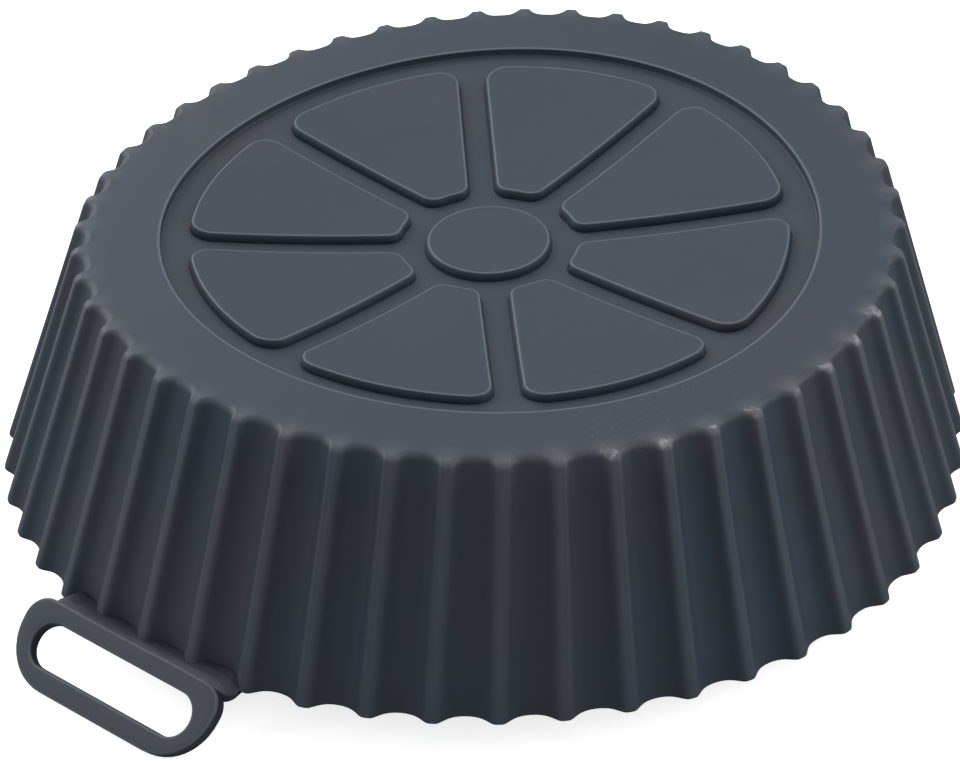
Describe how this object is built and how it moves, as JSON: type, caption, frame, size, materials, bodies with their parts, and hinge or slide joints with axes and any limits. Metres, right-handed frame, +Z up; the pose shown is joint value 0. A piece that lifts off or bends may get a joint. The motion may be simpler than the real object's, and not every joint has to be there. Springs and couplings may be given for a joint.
{
  "type": "air fryer liner",
  "caption": "Round fluted silicone liner for an air fryer, shown upside down, with a dished base of raised pads and two sloping loop handles.",
  "frame": {"origin": "middle of the footprint, level with the tips of the handles, on which the upturned liner stands", "axes": "+Z up, towards the underside of the liner; X through the two handles; the mouth of the liner faces -Z"},
  "size_m": [0.2284, 0.1996, 0.0602],
  "materials": {
    "silicone": "matte slate-grey moulded silicone, faintly dusty, paler where handling has rubbed the ridge ends"
  },
  "bodies": {
    "root": {"liner": "silicone"}
  },
  "joints": []
}
